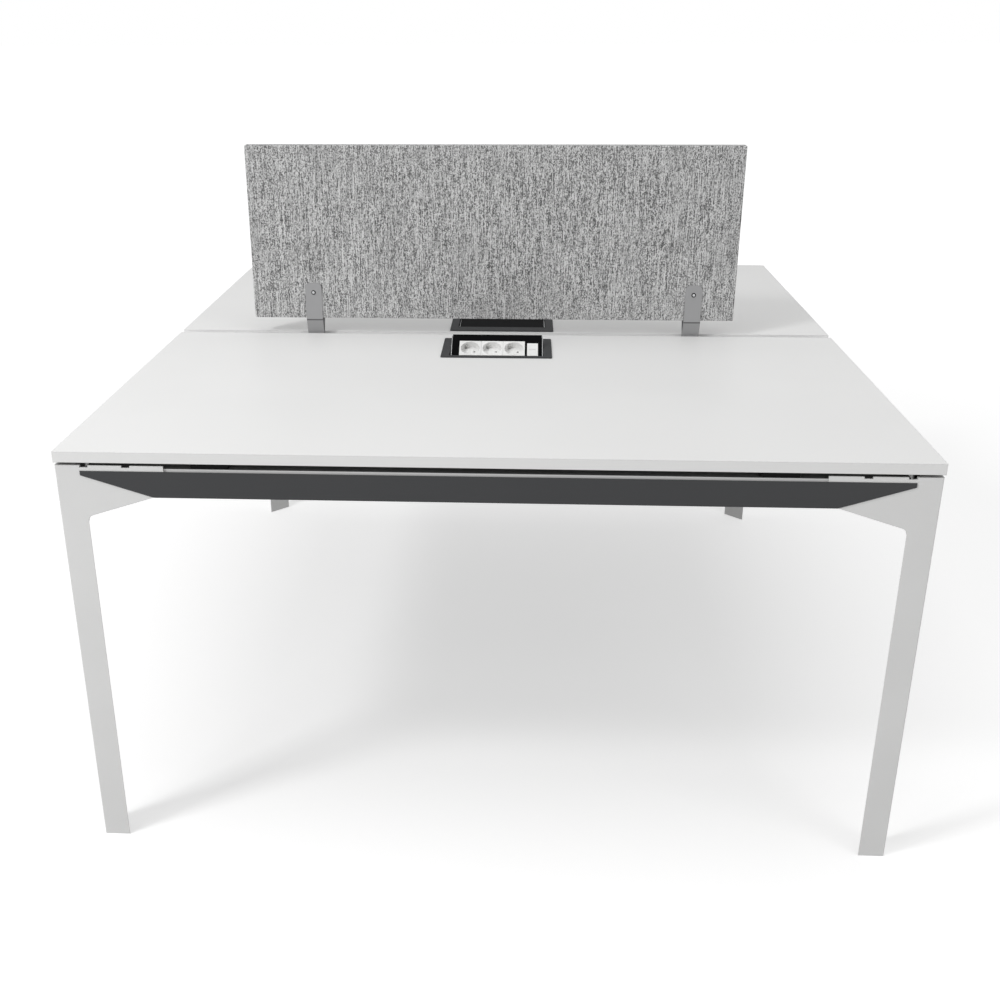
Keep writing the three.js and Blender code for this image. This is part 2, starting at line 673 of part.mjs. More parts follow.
// The bezel on the worktop, wider on the seam side than on the user's.
function bezelGeometry() {
  const openHalfLength = BODY_LENGTH / 2 + BEZEL_GAP;
  const openHalfDepth = COVER_HALF_DEPTH + BEZEL_GAP;
  const shape = outline(rectangle(
    -openHalfLength - BEZEL_SIDE,
    -openHalfDepth - BEZEL_USER_EDGE,
    openHalfLength + BEZEL_SIDE,
    openHalfDepth + BEZEL_SEAM_EDGE,
    BEZEL_CORNER_RADIUS,
  ));
  const opening = rectangle(-openHalfLength, -openHalfDepth, openHalfLength, openHalfDepth);
  shape.holes.push(outline(opening, new THREE.Path()));
  return prismZ(shape, AXIS_DEPTH + FIT, AXIS_DEPTH + FIT + BEZEL_HEIGHT);
}

// A power unit, its axis at the group's origin and its user on the -Y side.
function powerUnit(name, turn) {
  const unit = new THREE.Group();
  unit.add(piece(`${name}_bezel`, bezelGeometry(), finish.bezel));
  unit.add(piece(`${name}_tub`, tubGeometry(), finish.blackPlastic));
  const body = new THREE.Group();
  body.rotation.x = -turn;
  body.add(piece(`${name}_turn_body`, turnBodyGeometry(), finish.blackPlastic));
  body.add(piece(`${name}_cover`, coverPlateGeometry(), finish.blackPlastic));
  body.add(piece(`${name}_end_cap_left`, endCapGeometry(-1), finish.aluminium));
  body.add(piece(`${name}_end_cap_right`, endCapGeometry(1), finish.aluminium));
  const { sockets, half } = insertStarts();
  sockets.forEach((start, index) => {
    body.add(piece(`${name}_socket_${index + 1}`, socketGeometry(start), finish.whitePlastic));
  });
  body.add(piece(`${name}_half_insert`, halfInsertGeometry(half), finish.whitePlastic));
  unit.add(body);
  return unit;
}

// The desk
const desk = new THREE.Group();

// What belongs to one user: the worktop, bracket plates, centre rail, pads and power unit.
function userHalf(side, unitX, setback, turn) {
  const half = new THREE.Group();
  const axisReach = unitReach(setback);
  half.add(piece(`worktop_${side}`, worktopGeometry(unitX, axisReach), finish.laminate));
  half.add(piece(`centre_rail_${side}`, centreRailGeometry(), finish.darkSteel));
  half.add(piece(`screen_bracket_${side}_left`, bracketGeometry(-BRACKET_SPREAD), finish.greySteel));
  half.add(piece(`screen_bracket_${side}_right`, bracketGeometry(BRACKET_SPREAD), finish.greySteel));
  const edge = new THREE.Group();
  edge.position.y = -DESK_DEPTH / 2;
  edge.add(piece(`pad_${side}_left`, padGeometry(-PAD_SPREAD), finish.rubber));
  edge.add(piece(`pad_${side}_right`, padGeometry(PAD_SPREAD), finish.rubber));
  half.add(edge);
  const unit = powerUnit(`${side}_unit`, turn);
  unit.position.set(unitX, -axisReach, DESK_HEIGHT - AXIS_DEPTH);
  half.add(unit);
  return half;
}

desk.add(userHalf('front', FRONT_UNIT_X, FRONT_UNIT_SETBACK, OPEN_TURN));
const rearHalf = userHalf('rear', -REAR_UNIT_X, REAR_UNIT_SETBACK, 0);
rearHalf.rotation.z = Math.PI;
desk.add(rearHalf);

// Frame edges, in quarter turns from the front one, and the corner at the left end of each.
const edges = [
  { side: 'front', corner: 'front_left', halfEdge: TOP_WIDTH / 2, reach: DESK_DEPTH / 2 },
  { side: 'right', corner: 'front_right', halfEdge: DESK_DEPTH / 2, reach: TOP_WIDTH / 2 },
  { side: 'rear', corner: 'rear_right', halfEdge: TOP_WIDTH / 2, reach: DESK_DEPTH / 2 },
  { side: 'left', corner: 'rear_left', halfEdge: DESK_DEPTH / 2, reach: TOP_WIDTH / 2 },
];
edges.forEach(({ side, corner, halfEdge, reach }, quarter) => {
  const edge = new THREE.Group();
  edge.position.y = -reach;
  edge.add(piece(`fascia_${side}`, fasciaGeometry(halfEdge), finish.darkSteel));
  edge.add(piece(`rail_${side}`, railGeometry(halfEdge), finish.whiteSteel));
  const foot = new THREE.Group();
  foot.position.x = -halfEdge;
  foot.add(piece(`leg_${corner}`, legGeometry(), finish.whiteSteel));
  foot.add(piece(`foot_plug_${corner}`, plugGeometry(), finish.blackPlastic));
  foot.add(piece(`glide_${corner}`, glideGeometry(), finish.zinc));
  edge.add(foot);
  const turned = new THREE.Group();
  turned.rotation.z = quarter * Math.PI / 2;
  turned.add(edge);
  desk.add(turned);
});

// Angles under the ends of the centre rails.
const leftAngle = piece('rail_angle_left', angleGeometry(), finish.darkSteel);
leftAngle.rotation.z = Math.PI;
desk.add(piece('rail_angle_right', angleGeometry(), finish.darkSteel), leftAngle);

// The screen over the seam.
desk.add(piece('screen_cover', screenCoverGeometry(), finish.fabric));
desk.add(piece('screen_board', screenBoardGeometry(), finish.board));

export default desk;
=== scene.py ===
"""Dress a benching desk for two: finishes, screen cover, fasteners, contacts and studio."""

import json
import logging
import math
from abc import ABC, abstractmethod
from collections.abc import Iterable, Sequence
from dataclasses import dataclass, field
from enum import Enum

import bmesh
import bpy
import numpy as np
from mathutils import Matrix, Vector
from numpy.typing import NDArray


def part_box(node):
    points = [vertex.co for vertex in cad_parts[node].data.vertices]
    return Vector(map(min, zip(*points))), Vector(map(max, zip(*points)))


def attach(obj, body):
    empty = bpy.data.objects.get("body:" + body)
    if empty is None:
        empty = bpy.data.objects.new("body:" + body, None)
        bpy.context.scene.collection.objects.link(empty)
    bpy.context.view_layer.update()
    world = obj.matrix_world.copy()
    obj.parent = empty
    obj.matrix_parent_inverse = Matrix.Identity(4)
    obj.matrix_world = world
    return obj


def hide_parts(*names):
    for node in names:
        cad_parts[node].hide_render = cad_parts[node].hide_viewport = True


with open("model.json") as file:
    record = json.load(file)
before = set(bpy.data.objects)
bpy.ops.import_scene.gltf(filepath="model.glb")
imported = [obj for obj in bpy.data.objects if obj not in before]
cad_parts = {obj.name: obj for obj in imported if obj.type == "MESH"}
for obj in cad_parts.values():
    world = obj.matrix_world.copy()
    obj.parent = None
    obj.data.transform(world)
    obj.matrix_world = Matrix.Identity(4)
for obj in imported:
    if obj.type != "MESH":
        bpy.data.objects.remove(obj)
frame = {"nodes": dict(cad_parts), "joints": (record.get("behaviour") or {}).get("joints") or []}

Array = NDArray[np.float64]
Tone = tuple[float, float, float]
Point = tuple[float, float, float]
Scales = tuple[float, float, float]
Range = tuple[float, float]
Socket = bpy.types.NodeSocket
Input = Socket | Tone | float

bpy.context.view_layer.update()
LOG = logging.getLogger("desk")

SIDES = ("front", "rear")
ENDS = ("left", "right")
SIGNS = (-1.0, 1.0)
QUARTER_TURN = 0.5 * math.pi
FULL_TURN = 2.0 * math.pi
WHITE = (1.0, 1.0, 1.0)


class Body(str, Enum):
    """The rigid bodies that pieces ride on."""

    DESK = "desk"
    FRONT_TURN = "front_turn_unit"
    REAR_TURN = "rear_turn_unit"


class Drive(Enum):
    """The recess in a screw's head, by its number of flats."""

    HEX = 6
    NONE = 0


class Edge(Enum):
    """The desk's four edges, numbered in quarter turns from the front one."""

    FRONT = 0
    RIGHT = 1
    REAR = 2
    LEFT = 3


class Turn(Enum):
    """How far a power unit is turned over, in radians."""

    CLOSED = 0.0
    OPEN = math.radians(154.0)


class Facing(Enum):
    """The user that a power unit faces, as a turn about Z in radians."""

    FRONT = 0.0
    REAR = math.pi


class Layers(Enum):
    """How a noise is layered: its detail, and how strong the finer layers are."""

    PLAIN = (1.0, 0.5)
    FLECKED = (1.0, 0.6)
    CLOUDED = (2.0, 0.5)
    PEELED = (2.0, 0.45)
    GRAINED = (3.0, 0.6)


# Node graphs


def scaled(tone: Tone, factor: float) -> Tone:
    """A colour made lighter or darker by a factor."""
    return tuple(part * factor for part in tone)


class Graph:
    """A material's node tree, with short calls for the nodes that the finishes use."""

    BEVEL_SAMPLES = 4
    MIX_SHARE, MIX_FIRST, MIX_SECOND, MIX_COLOUR = 0, 6, 7, 2
    NOISE_MIDDLE = 0.5
    NOISE_RANGE = (0.3, 0.7)
    RANGE_SOCKETS = ("From Min", "From Max", "To Min", "To Max")

    def __init__(self, name: str) -> None:
        """Start a tree with a shader, an output and object coordinates.

        Args:
            name: The material's name.
        """
        self.material = bpy.data.materials.new(name)
        self.material.use_nodes = True
        self.tree = self.material.node_tree
        self.tree.nodes.clear()
        self.shader = self.node("ShaderNodeBsdfPrincipled")
        output = self.node("ShaderNodeOutputMaterial")
        self.link(self.shader.outputs["BSDF"], output.inputs["Surface"])
        self.place = self.node("ShaderNodeTexCoord").outputs["Object"]

    def node(self, kind: str) -> bpy.types.Node:
        """Add a node of that kind."""
        return self.tree.nodes.new(kind)

    def link(self, source: Socket, target: Socket) -> None:
        """Join two sockets."""
        self.tree.links.new(source, target)

    def feed(self, target: Socket, value: Input) -> None:
        """Set a socket from a number, a colour or another socket.

        Args:
            target: The socket to set.
            value: A number, a colour of three parts, or a socket.
        """
        if isinstance(value, Socket):
            self.link(value, target)
        elif isinstance(value, (int, float)):
            target.default_value = value
        else:
            target.default_value = (*value, 1.0)

    def constant(self, name: str, number: float) -> None:
        """Set one of the shader's own sockets to a number."""
        self.shader.inputs[name].default_value = number

    def stretch(self, scale: Scales, shift: Point = (0.0, 0.0, 0.0)) -> Socket:
        """Object coordinates, scaled and shifted.

        Args:
            scale: Pattern repeats per metre along each axis.
            shift: Shift along each axis, in repeats.

        Returns:
            The vector socket.
        """
        mapping = self.node("ShaderNodeMapping")
        mapping.inputs["Scale"].default_value = scale
        mapping.inputs["Location"].default_value = shift
        self.link(self.place, mapping.inputs["Vector"])
        return mapping.outputs["Vector"]

    def split(self, vector: Socket) -> bpy.types.NodeOutputs:
        """Take a vector apart.

        Args:
            vector: The vector socket.

        Returns:
            Its parts, named X, Y and Z.
        """
        node = self.node("ShaderNodeSeparateXYZ")
        self.link(vector, node.inputs[0])
        return node.outputs

    def along(self, axis: str) -> Socket:
        """The X, Y or Z object coordinate."""
        return self.split(self.place)[axis]

    def noise(self, vector: Socket, layers: Layers, scale: float = 1.0) -> Socket:
        """Smooth noise between 0 and 1.

        Args:
            vector: Where the noise is read.
            layers: How the noise is layered.
            scale: Repeats per unit of the vector.

        Returns:
            The noise's value socket.
        """
        node = self.node("ShaderNodeTexNoise")
        detail, rough = layers.value
        node.inputs["Scale"].default_value = scale
        node.inputs["Detail"].default_value = detail
        node.inputs["Roughness"].default_value = rough
        self.link(vector, node.inputs["Vector"])
        return node.outputs["Fac"]

    def math(self, operation: str, first: Input, second: Input = 0.0) -> Socket:
        """A sum, product or other operation on one or two values.

        Args:
            operation: The name of the operation.
            first: A number or socket.
            second: A number or socket, for an operation that takes two.

        Returns:
            The value socket.
        """
        node = self.node("ShaderNodeMath")
        node.operation = operation
        self.feed(node.inputs[0], first)
        self.feed(node.inputs[1], second)
        return node.outputs["Value"]

    def centred(self, noise: Socket) -> Socket:
        """Noise moved so that it lies on both sides of 0."""
        return self.math("SUBTRACT", noise, self.NOISE_MIDDLE)

    def span(self, value: Socket, low: float, high: float, start: float, end: float) -> Socket:
        """Carry a value from one range to another, smoothly and without going past its ends.

        Args:
            value: The value to carry.
            low: Where the first range starts.
            high: Where the first range ends.
            start: Where the second range starts.
            end: Where the second range ends.

        Returns:
            The value socket.
        """
        node = self.node("ShaderNodeMapRange")
        node.interpolation_type = "SMOOTHSTEP"
        for name, number in zip(self.RANGE_SOCKETS, (low, high, start, end)):
            node.inputs[name].default_value = number
        self.link(value, node.inputs["Value"])
        return node.outputs["Result"]

    def spread(self, noise: Socket, start: float = 0.0, end: float = 1.0) -> Socket:
        """Carry noise from the range that holds most of it to another range."""
        return self.span(noise, *self.NOISE_RANGE, start, end)

    def mix(self, share: Input, first: Input, second: Input) -> Socket:
        """A colour between two colours.

        Args:
            share: How much of the second colour, from 0 to 1.
            first: The first colour.
            second: The second colour.

        Returns:
            The colour socket.
        """
        node = self.node("ShaderNodeMix")
        node.data_type = "RGBA"
        self.feed(node.inputs[self.MIX_SHARE], share)
        self.feed(node.inputs[self.MIX_FIRST], first)
        self.feed(node.inputs[self.MIX_SECOND], second)
        return node.outputs[self.MIX_COLOUR]

    def clouded(self, noise: Socket, tone: Tone, shade: float) -> Socket:
        """A tone that is changed by a factor where the noise is high."""
        return self.mix(self.spread(noise), tone, scaled(tone, shade))

    def relief(self, height: Socket, depth: float, strength: float, edge: float = 0.0) -> None:
        """Give the shader a bumpy normal over softened edges.

        Args:
            height: The relief's height, from 0 to 1.
            depth: Metres between the lowest and the highest point.
            strength: How much of the relief shows.
            edge: Radius that sharp edges are softened to, in metres.
        """
        bump = self.node("ShaderNodeBump")
        bump.inputs["Distance"].default_value = depth
        bump.inputs["Strength"].default_value = strength
        self.link(height, bump.inputs["Height"])
        if edge > 0.0:
            bevel = self.node("ShaderNodeBevel")
            bevel.samples = self.BEVEL_SAMPLES
            bevel.inputs["Radius"].default_value = edge
            self.link(bevel.outputs["Normal"], bump.inputs["Normal"])
        self.link(bump.outputs["Normal"], self.shader.inputs["Normal"])

    def paint(self, colour: Input, roughness: Input, metallic: float = 0.0) -> None:
        """Set the shader's main sockets.

        Args:
            colour: Base colour.
            roughness: Roughness, a number or a socket.
            metallic: 1 for bare metal, 0 for anything else.
        """
        self.feed(self.shader.inputs["Base Color"], colour)
        self.feed(self.shader.inputs["Roughness"], roughness)
        self.constant("Metallic", metallic)


# Finishes


@dataclass(frozen=True)
class Finish(ABC):
    """A surface finish with a name of its own."""

    name: str

    @abstractmethod
    def material(self) -> bpy.types.Material:
        """Make the material."""


@dataclass(frozen=True)
class Laminate(Finish):
    """White melamine with a fine pebbled face and a banded edge, with a painted highlight at the seam.
    """

    tone: Tone
    band: Tone
    # Painted highlight: the edge bands at the seam take this lighter tone in place of the light that
    # falls on them.
    seam_band_highlight: Tone
    # Painted shade: the underside takes this near-black tone to darken the gap under the worktop; there
    # is no backing sheet.
    under: Tone
    low: float
    top: float
    seam: float
    band_line: float = 0.0007
    line_width: float = 0.0003
    line_share: float = 0.5
    line_shade: float = 0.72
    cloud_scale: float = 3.0
    cloud_shade: float = 0.985
    pebble_scale: float = 1500.0
    pebble_depth: float = 0.00012
    pebble_strength: float = 0.25
    roughness: Range = (0.42, 0.52)
    shine: float = 0.12
    edge: float = 0.0009

    def material(self) -> bpy.types.Material:
        """Make the material: pebbles, a banded edge and joint line, a painted seam highlight, a painted
        dark underside.

        Returns:
            The material.
        """
        graph = Graph(self.name)
        pebbles = graph.noise(graph.place, Layers.GRAINED, self.pebble_scale)
        clouds = graph.noise(graph.place, Layers.CLOUDED, self.cloud_scale)
        face = graph.clouded(clouds, self.tone, self.cloud_shade)
        height = graph.along("Z")
        joint = self.top - self.band_line
        line_low = joint - self.line_width
        on_band = graph.span(height, line_low, joint, 1.0, 0.0)
        below_line = graph.span(height, line_low - self.line_width, line_low, 1.0, 0.0)
        on_line = graph.math("SUBTRACT", on_band, below_line)
        # Painted highlight on the edge bands within reach of the seam.
        from_seam = graph.math("ABSOLUTE", graph.along("Y"))
        seam_highlight_share = graph.span(from_seam, self.seam, self.seam + self.line_width, 1.0, 0.0)
        banded = graph.mix(on_band, face, graph.mix(seam_highlight_share, self.band, self.seam_band_highlight))
        line = graph.math("MULTIPLY", on_line, self.line_share)
        lined = graph.mix(line, banded, scaled(self.band, self.line_shade))
        # Painted shade: near black on the underside.
        on_under = graph.span(height, self.low, self.low + self.line_width, 1.0, 0.0)
        colour = graph.mix(on_under, lined, self.under)
        graph.paint(colour, graph.spread(pebbles, *self.roughness))
        graph.constant("Specular IOR Level", self.shine)
        graph.relief(pebbles, self.pebble_depth, self.pebble_strength, self.edge)
        return graph.material


@dataclass(frozen=True)
class PowderCoat(Finish):
    """Baked powder paint with a slight orange peel."""

    tone: Tone
    roughness: float = 0.42
    roughness_sway: Range = (-0.05, 0.06)
    peel: float = 0.35
    peel_scale: float = 620.0
    peel_depth: float = 0.0002
    sparkle: float = 0.0
    speck_scale: float = 2600.0
    speck_range: Range = (0.55, 0.75)
    speck_share: float = 0.15
    speck_shade: float = 1.12
    patch_scale: float = 6.0
    patch_shade: float = 0.965
    edge: float = 0.0009
    shine: float = 0.5
    # Painted shade: a dark line across the tone at this height stands in for the shadow in a fold.
    crease_shadow_height: float | None = None
    crease_shadow_half: float = 0.0010
    crease_shadow_factor: float = 0.36
    # Painted shade: from this height up the tone goes near black, in place of the shade under the
    # worktop; no felt is there.
    top_shade_from: float | None = None
    top_shade_tone: Tone = (0.11, 0.11, 0.11)
    top_shade_edge: Range = (-0.0004, -0.0002)

    def material(self) -> bpy.types.Material:
        """Make the material: an even tone, peel in the relief and fine specks.

        A fold gets a painted shadow line at its height, and a face a dark strip of painted shade from
        its height up.

        Returns:
            The material.
        """
        graph = Graph(self.name)
        peel = graph.noise(graph.place, Layers.PEELED, self.peel_scale)
        specks = graph.noise(graph.place, Layers.PLAIN, self.speck_scale)
        patches = graph.noise(graph.place, Layers.CLOUDED, self.patch_scale)
        even = graph.clouded(patches, self.tone, self.patch_shade)
        speck_share = graph.span(specks, *self.speck_range, 0.0, self.speck_share + self.sparkle)
        colour = graph.mix(speck_share, even, scaled(self.tone, self.speck_shade))
        # Painted shadow line at the fold.
        if self.crease_shadow_height is not None:
            away = graph.math("ABSOLUTE", graph.math("SUBTRACT", graph.along("Z"), self.crease_shadow_height))
            in_crease_shadow = graph.span(away, self.crease_shadow_half, 2.0 * self.crease_shadow_half, 1.0, 0.0)
            colour = graph.mix(in_crease_shadow, colour, scaled(self.tone, self.crease_shadow_factor))
        # Painted shade from the top height up.
        if self.top_shade_from is not None:
            low, high = (self.top_shade_from + step for step in self.top_shade_edge)
            colour = graph.mix(graph.span(graph.along("Z"), low, high, 0.0, 1.0), colour, self.top_shade_tone)
        rough = graph.spread(peel, *(self.roughness + step for step in self.roughness_sway))
        graph.paint(colour, rough, self.sparkle)
        graph.constant("Specular IOR Level", self.shine)
        graph.relief(peel, self.peel_depth, self.peel, self.edge)
        return graph.material


@dataclass(frozen=True)
class MouldedPlastic(Finish):
    """Moulded plastic with a spark-eroded grain."""

    tone: Tone
    roughness: float = 0.45
    roughness_sway: Range = (-0.06, 0.08)
    grain: float = 0.3
    grain_scale: float = 2200.0
    grain_depth: float = 0.0001
    flow_scale: float = 18.0
    flow_shade: float = 0.93
    edge: float = 0.0006
    shine: float = 0.5

    def material(self) -> bpy.types.Material:
        """Make the material: an even tone with fine grain in the relief and the gloss.

        Returns:
            The material.
        """
        graph = Graph(self.name)
        grain = graph.noise(graph.place, Layers.GRAINED, self.grain_scale)
        flow = graph.noise(graph.place, Layers.CLOUDED, self.flow_scale)
        colour = graph.clouded(flow, self.tone, self.flow_shade)
        rough = graph.spread(grain, *(self.roughness + step for step in self.roughness_sway))
        graph.paint(colour, rough)
        graph.constant("Specular IOR Level", self.shine)
        graph.relief(grain, self.grain_depth, self.grain, self.edge)
        return graph.material


@dataclass(frozen=True)
class SatinMetal(Finish):
    """Bare metal with fine drawn lines."""

    tone: Tone
    lines: Scales
    line_range: Range = (0.25, 0.75)
    line_shade: float = 0.9
    line_depth: float = 0.00006
    line_strength: float = 0.3
    roughness: float = 0.34
    roughness_sway: Range = (-0.08, 0.1)
    edge: float = 0.0004

    def material(self) -> bpy.types.Material:
        """Make the material: noise drawn out along the lines, in gloss and relief.

        Returns:
            The material.
        """
        graph = Graph(self.name)
        drawn = graph.noise(graph.stretch(self.lines), Layers.GRAINED)
        colour = graph.mix(drawn, scaled(self.tone, self.line_shade), self.tone)
        sway = (self.roughness + step for step in self.roughness_sway)
        graph.paint(colour, graph.span(drawn, *self.line_range, *sway), metallic=1.0)
        graph.relief(drawn, self.line_depth, self.line_strength, self.edge)
        return graph.material


@dataclass(frozen=True)
class HeatherCloth(Finish):
    """Heather wool: pale and dark fibres spun into upright threads, over a plain weave."""

    dark: Tone
    light: Tone
    contrast: float = 0.132
    count: float = 780.0
    count_shift: float = 0.37
    thread_jump: float = 7.31
    runs: tuple[Range, ...] = ((18.0, 0.32), (70.0, 0.30), (230.0, 0.54))
    pale_runs: float = 7.0
    pale_range: Range = (0.15, 0.21)
    pale_lift: float = 0.14
    fleck_scale: float = 390.0
    fleck_share: float = 0.34
    fleck_rise: float = 0.9
    weft_scales: Scales = (110.0, 110.0, 420.0)
    weft_share: float = 0.12
    patch_scales: Scales = (28.0, 28.0, 18.0)
    patch_strength: Range = (0.75, 1.25)
    thread: float = 0.0011
    weave_rise: float = 0.3
    relief_depth: float = 0.0004
    relief_strength: float = 0.5
    roughness: float = 0.92
    sheen: float = 0.12
    sheen_roughness: float = 0.5
    shine: float = 0.15

    def warp(self, graph: Graph, runs: float) -> Socket:
        """Upright threads side by side, each with its own pale and dark runs along its length.

        A thread's number is its place across, counted in threads and rounded down. The noise is read
        at the number, times a jump that parts neighbours, and at the height.

        Args:
            graph: The material's graph.
            runs: Pale and dark runs per metre of thread.

        Returns:
            A value on both sides of 0.
        """
        scales = (self.count, self.count, runs)
        place = graph.split(graph.stretch(scales, (self.count_shift, self.count_shift, 0.0)))
        read = graph.node("ShaderNodeCombineXYZ")
        for axis in ("X", "Y"):
            number = graph.math("FLOOR", place[axis])
            graph.link(graph.math("MULTIPLY", number, self.thread_jump), read.inputs[axis])
        graph.link(place["Z"], read.inputs["Z"])
        return graph.centred(graph.noise(read.outputs[0], Layers.FLECKED))

    def spun(self, graph: Graph, flecks: Socket) -> Socket:
        """The mixture of fibres: flecks, threads with long and short runs, weft and pale threads.

        Patches make the mixture stronger here and weaker there.

        Args:
            graph: The material's graph.
            flecks: Fine noise on both sides of 0.

        Returns:
            A value on both sides of 0, higher where the cloth is paler.
        """
        weft = graph.centred(graph.noise(graph.stretch(self.weft_scales), Layers.FLECKED))
        patches = graph.noise(graph.stretch(self.patch_scales), Layers.PLAIN)
        mixture = graph.math("MULTIPLY", flecks, self.fleck_share)
        threads = [(self.warp(graph, runs), share) for runs, share in self.runs]
        for part, share in (*threads, (weft, self.weft_share)):
            mixture = graph.math("ADD", mixture, graph.math("MULTIPLY", part, share))
        mixture = graph.math("MULTIPLY", mixture, graph.spread(patches, *self.patch_strength))
        pale_threads = self.warp(graph, self.pale_runs)
        lift = graph.span(pale_threads, *self.pale_range, 0.0, self.pale_lift)
        return graph.math("ADD", mixture, lift)

    def weave(self, graph: Graph) -> Socket:
        """A plain weave: the product of a sine across and a sine up, one turn to a thread.

        Args:
            graph: The material's graph.

        Returns:
            A value from -1 to 1.
        """
        turns = FULL_TURN / self.thread
        place = graph.split(graph.stretch((turns, turns, turns)))
        across, up = (graph.math("SINE", place[axis]) for axis in ("X", "Z"))
        return graph.math("MULTIPLY", across, up)

    def material(self) -> bpy.types.Material:
        """Make the material: spun threads in the colour, weave and flecks in the relief.

        Returns:
            The material.
        """
        graph = Graph(self.name)
        flecks = graph.centred(graph.noise(graph.place, Layers.FLECKED, self.fleck_scale))
        pale = graph.span(self.spun(graph, flecks), -self.contrast, self.contrast, 0.0, 1.0)
        graph.paint(graph.mix(pale, self.dark, self.light), self.roughness)
        graph.constant("Sheen Weight", self.sheen)
        graph.constant("Sheen Roughness", self.sheen_roughness)
        graph.constant("Specular IOR Level", self.shine)
        woven = graph.math("MULTIPLY", self.weave(graph), self.weave_rise)
        rise = graph.math("ADD", woven, graph.math("MULTIPLY", flecks, self.fleck_rise))
        graph.relief(rise, self.relief_depth, self.relief_strength)
        return graph.material


@dataclass(frozen=True)
class PressedBoard(Finish):
    """Raw particle board, pressed from pale and dark chips."""

    tone: Tone
    chip: Tone
    chip_scale: float = 420.0
    chip_depth: float = 0.0004
    chip_strength: float = 0.5
    roughness: float = 0.85

    def material(self) -> bpy.types.Material:
        """Make the material: cells as chips, with their edges in the relief.

        Returns:
            The material.
        """
        graph = Graph(self.name)
        cells = graph.node("ShaderNodeTexVoronoi")
        cells.inputs["Scale"].default_value = self.chip_scale
        graph.link(graph.place, cells.inputs["Vector"])
        shade = graph.node("ShaderNodeSeparateColor")
        graph.link(cells.outputs["Color"], shade.inputs[0])
        graph.paint(graph.mix(shade.outputs[0], self.tone, self.chip), self.roughness)
        graph.relief(cells.outputs["Distance"], self.chip_depth, self.chip_strength)
        return graph.material


WORKTOP_LOW, WORKTOP_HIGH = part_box("worktop_front")
SEAM_REACH = 0.0005
FOLD_BELOW_SCREEN = 0.0037

# The worktops' laminate, with a painted highlight on the edge bands at the seam and painted shade on the
# underside.
LAMINATE = Laminate(
    "white_laminate",
    tone=(0.80, 0.80, 0.795),
    band=(0.78, 0.78, 0.775),
    seam_band_highlight=(0.93, 0.93, 0.925),
    under=(0.08, 0.078, 0.075),
    low=WORKTOP_LOW.z,
    top=WORKTOP_HIGH.z,
    seam=SEAM_REACH - WORKTOP_HIGH.y,
)
PALE_PAINT = PowderCoat("pale_powder_coat", (0.70, 0.70, 0.695))
# The rails' paint, with painted shade on their tops in place of the shade under the worktop.
RAIL_PAINT = PowderCoat("rail_paint_top_shade", PALE_PAINT.tone, top_shade_from=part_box("rail_front")[1].z)
DARK_PAINT = PowderCoat("dark_powder_coat", (0.036, 0.037, 0.039), roughness=0.55, peel=0.45, shine=0.35)
# The brackets' paint, with a painted shadow line at the fold below the screen.
SILVER_PAINT = PowderCoat(
    "silver_powder_coat",
    (0.33, 0.33, 0.335),
    roughness=0.45,
    peel=0.3,
    sparkle=0.1,
    shine=0.4,
    crease_shadow_height=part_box("screen_cover")[0].z - FOLD_BELOW_SCREEN,
)
BEZEL_PLASTIC = MouldedPlastic("dark_bezel", (0.062, 0.063, 0.065), roughness=0.6, shine=0.04)
BLACK_PLASTIC = MouldedPlastic("black_moulding", (0.005, 0.005, 0.0055), roughness=0.6, shine=0.01)
WHITE_PLASTIC = MouldedPlastic("white_moulding", (0.84, 0.84, 0.83), roughness=0.35, grain=0.15)
RUBBER = MouldedPlastic("black_rubber", (0.012, 0.012, 0.012), roughness=0.8, grain=0.5, shine=0.1)
ALUMINIUM = SatinMetal("satin_aluminium", (0.50, 0.505, 0.51), lines=(60.0, 2600.0, 60.0))
ZINC = SatinMetal("zinc_plate", (0.62, 0.63, 0.64), lines=(700.0, 700.0, 90.0))
SPRUNG_CONTACT = SatinMetal(
    "sprung_contact", (0.42, 0.42, 0.41), lines=(1800.0, 120.0, 120.0), roughness=0.35
)
CLOTH = HeatherCloth("heather_wool", dark=(0.11, 0.11, 0.11), light=(0.64, 0.64, 0.64))
BOARD = PressedBoard("particle_board", tone=(0.45, 0.33, 0.2), chip=(0.28, 0.19, 0.11))


@dataclass
class Palette:
    """Materials, each made once."""

    made: dict[str, bpy.types.Material] = field(default_factory=dict)

    def material(self, finish: Finish) -> bpy.types.Material:
        """The material of a finish.

        Args:
            finish: One of the finishes above.

        Returns:
            The material.
        """
        if finish.name not in self.made:
            self.made[finish.name] = finish.material()
        return self.made[finish.name]

    def dress(self, node: str, finish: Finish) -> None:
        """Give a CAD node a finish.

        Args:
            node: The node's name.
            finish: One of the finishes above.
        """
        slots = frame["nodes"][node].data.materials
        slots.clear()
        slots.append(self.material(finish))
        LOG.info("dressed %s in %s", node, finish.name)


# Surfaces

MERGE_DISTANCE = 1e-6
SHARP_ANGLE = math.radians(40.0)


def grid_faces(rows: int, columns: int) -> NDArray[np.int64]:
    """Quads between the points of a grid whose last column joins its first.

    Face (i, j) joins points (i, j), (i, j+1), (i+1, j+1) and (i+1, j).

    Args:
        rows: Points along the first parameter.
        columns: Points along the second parameter.

    Returns:
        Vertex numbers, four a face.
    """
    row = np.arange(rows - 1)[:, None]
    column = np.arange(columns)[None, :]
    after = (column + 1) % columns
    corners = (row * columns + column, row * columns + after)
    corners += ((row + 1) * columns + after, (row + 1) * columns + column)
    return np.stack(np.broadcast_arrays(*corners), axis=-1).reshape(-1, 4)


